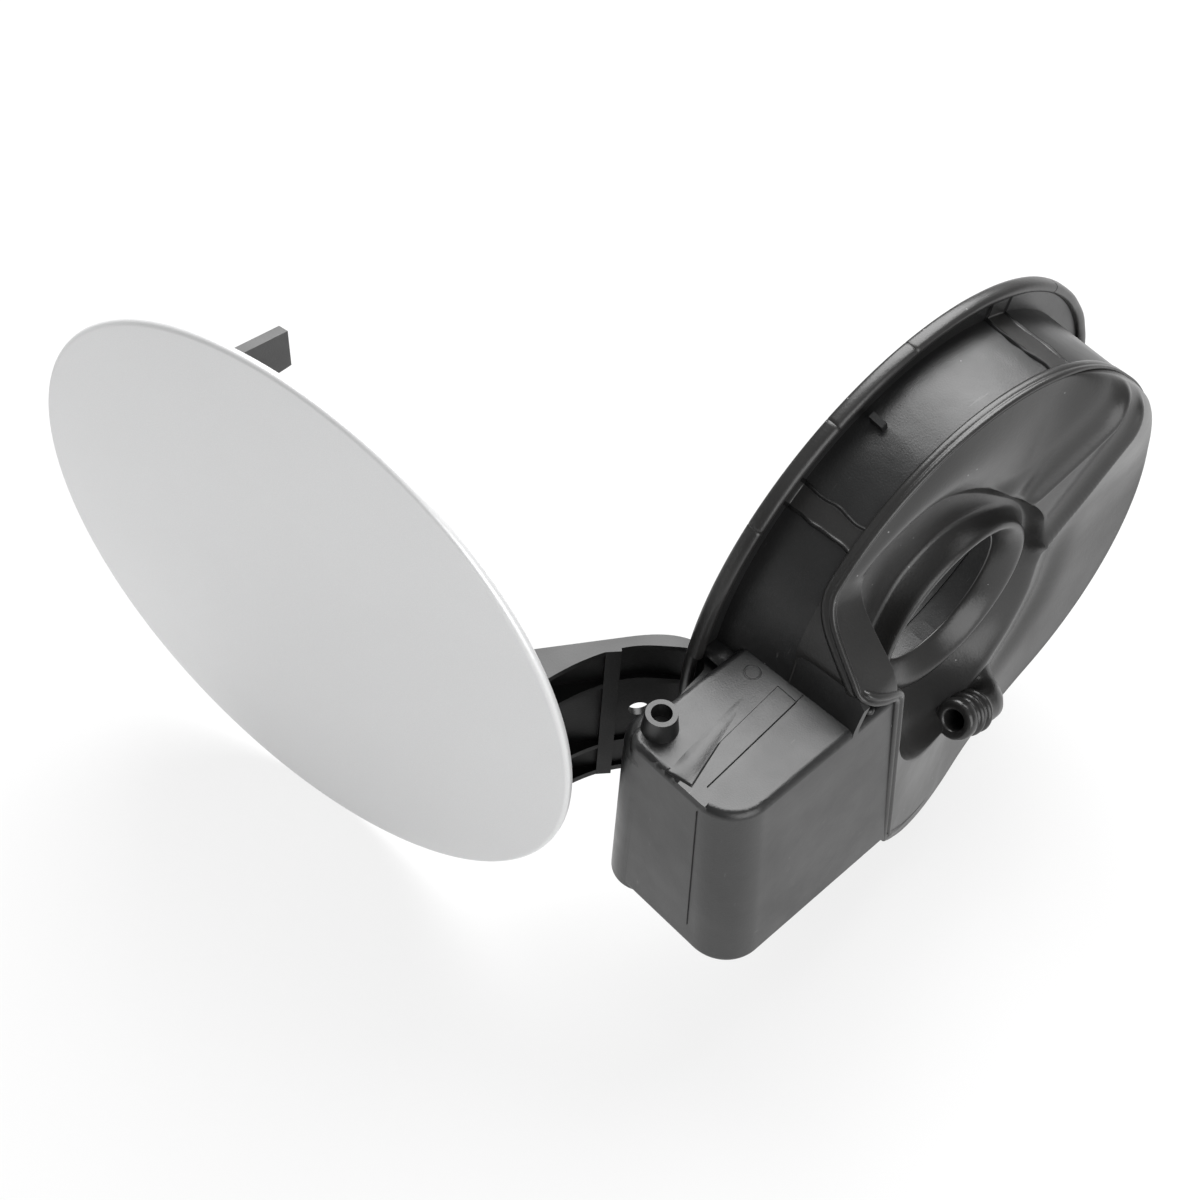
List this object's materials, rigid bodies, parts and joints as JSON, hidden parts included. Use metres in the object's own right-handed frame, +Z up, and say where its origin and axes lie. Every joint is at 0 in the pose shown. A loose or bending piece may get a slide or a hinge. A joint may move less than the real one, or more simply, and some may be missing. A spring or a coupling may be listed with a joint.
{
  "type": "car fuel door",
  "caption": "Round painted car fuel door on a gooseneck hinge arm, swinging from the hinge box of a black filler pot with a soft rear wall, filler collar and drain nipple.",
  "frame": {"origin": "centre of the pot's flange, on its front face", "axes": "+Z up and parallel to the hinge pin, +Y into the car, +X towards the hinge; the door is stored open"},
  "size_m": [0.2614, 0.2505, 0.2],
  "materials": {
    "silver_paint": "satin metallic silver",
    "primed_panel": "matt grey primer",
    "black_plastic": "satin moulded black",
    "soft_rubber": "satin soft black",
    "steel": "plain"
  },
  "bodies": {
    "pot": {"housing": "black_plastic", "soft_moulding": "soft_rubber", "hinge_pin": "steel", "bumper_upper": "soft_rubber", "bumper_lower": "soft_rubber"},
    "door": {"door_skin": "silver_paint", "door_inner": "primed_panel", "hinge_arm": "black_plastic", "arm_rivets": "steel", "latch_tongue": "black_plastic", "tongue_rivets": "steel"}
  },
  "joints": [
    {"name": "door_hinge", "type": "hinge", "parent": "pot", "child": "door", "pos_m": [0.1133, 0.0148, 0], "axis": [0, 0, 1], "range_deg": [-99.9, 0]}
  ]
}
